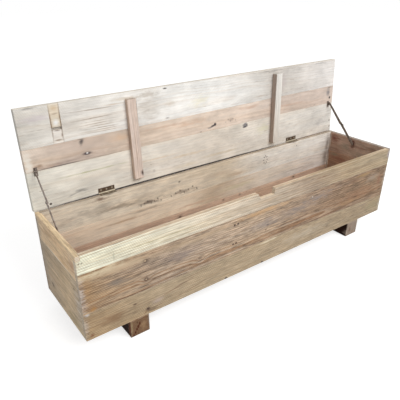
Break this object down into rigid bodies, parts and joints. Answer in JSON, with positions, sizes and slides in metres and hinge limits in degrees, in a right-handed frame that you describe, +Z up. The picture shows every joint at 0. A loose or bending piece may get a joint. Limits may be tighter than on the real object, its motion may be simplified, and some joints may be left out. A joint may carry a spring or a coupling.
{
  "type": "blanket chest",
  "caption": "Long low pine blanket chest on bearers, with a battened board lid on butt hinges, held open by folding stays, and a finger notch in the front rim.",
  "frame": {"origin": "on the floor under the middle of the open chest's bounding box", "axes": "+X along the chest to the right as seen from the front, +Y to the hinge side at the back, +Z up"},
  "size_m": [1.5, 0.3852, 0.7181],
  "materials": {
    "pale_pine": "matt",
    "warm_pine": "matt",
    "cream_pine": "matt",
    "grey_brown_pine": "matt",
    "tan_pine": "matt",
    "grey_pine": "matt",
    "red_brown_pine": "matt",
    "brown_pine": "matt",
    "bearer_pine": "matt",
    "pale_filler": "matt",
    "hinge_steel": "dull, darkened",
    "stay_steel": "dull",
    "nail_iron": "rusted"
  },
  "bodies": {
    "chest": {"front_board_top": "cream_pine", "front_board_middle": "grey_brown_pine", "front_board_bottom": "tan_pine", "back_board_top": "grey_pine", "back_board_middle": "tan_pine", "back_board_bottom": "red_brown_pine", "floor_board_front": "brown_pine", "floor_board_middle": "brown_pine", "floor_board_back": "brown_pine", "floor_nails": "nail_iron", "left_end_board_top": "brown_pine", "left_end_board_bottom": "brown_pine", "left_bearer": "bearer_pine", "front_left_nails": "nail_iron", "back_left_nails": "nail_iron", "left_hinge_rim_leaf": "hinge_steel", "left_hinge_pin": "hinge_steel", "left_stay_wall_plate": "stay_steel", "right_end_board_top": "brown_pine", "right_end_board_bottom": "brown_pine", "right_bearer": "bearer_pine", "front_right_nails": "nail_iron", "back_right_nails": "nail_iron", "right_hinge_rim_leaf": "hinge_steel", "right_hinge_pin": "hinge_steel", "right_stay_wall_plate": "stay_steel"},
    "lid": {"lid_board_rear": "pale_pine", "lid_board_middle": "warm_pine", "lid_board_front": "pale_pine", "lid_patch_lower": "pale_filler", "lid_patch_upper": "pale_filler", "lid_batten_left": "brown_pine", "lid_batten_right": "pale_pine", "lid_batten_nails_left": "nail_iron", "lid_batten_nails_right": "nail_iron", "left_hinge_lid_leaf": "hinge_steel", "left_stay_lid_bracket": "stay_steel", "left_stay_top_rivet": "stay_steel", "right_hinge_lid_leaf": "hinge_steel", "right_stay_lid_bracket": "stay_steel", "right_stay_top_rivet": "stay_steel"},
    "left_upper_link": {"left_stay_upper_link": "stay_steel", "left_stay_knee_rivet": "stay_steel"},
    "left_lower_link": {"left_stay_lower_link": "stay_steel"},
    "right_upper_link": {"right_stay_upper_link": "stay_steel", "right_stay_knee_rivet": "stay_steel"},
    "right_lower_link": {"right_stay_lower_link": "stay_steel"}
  },
  "joints": [
    {"name": "lid_hinge", "type": "hinge", "parent": "chest", "child": "lid", "pos_m": [0, 0.14476, 0.3828], "axis": [1, 0, 0], "range_deg": [0, 94.85]},
    {"name": "left_stay_top_pivot", "type": "hinge", "parent": "lid", "child": "left_upper_link", "pos_m": [-0.724, 0.14711, 0.51801], "axis": [1, 0, 0], "range_deg": [0, 1.8]},
    {"name": "left_stay_knee", "type": "hinge", "parent": "left_upper_link", "child": "left_lower_link", "pos_m": [-0.724, 0.07085, 0.43927], "axis": [1, 0, 0], "range_deg": [-166.4, 0]},
    {"name": "right_stay_top_pivot", "type": "hinge", "parent": "lid", "child": "right_upper_link", "pos_m": [0.724, 0.14711, 0.51801], "axis": [1, 0, 0], "range_deg": [0, 1.8]},
    {"name": "right_stay_knee", "type": "hinge", "parent": "right_upper_link", "child": "right_lower_link", "pos_m": [0.724, 0.07085, 0.43927], "axis": [1, 0, 0], "range_deg": [-166.4, 0]}
  ],
  "couplings": [
    {"joint": "left_stay_top_pivot", "follows": "lid_hinge", "ratio": 0.01754},
    {"joint": "left_stay_knee", "follows": "lid_hinge", "ratio": -1.7526},
    {"joint": "right_stay_top_pivot", "follows": "lid_hinge", "ratio": 0.01754},
    {"joint": "right_stay_knee", "follows": "lid_hinge", "ratio": -1.7526}
  ]
}
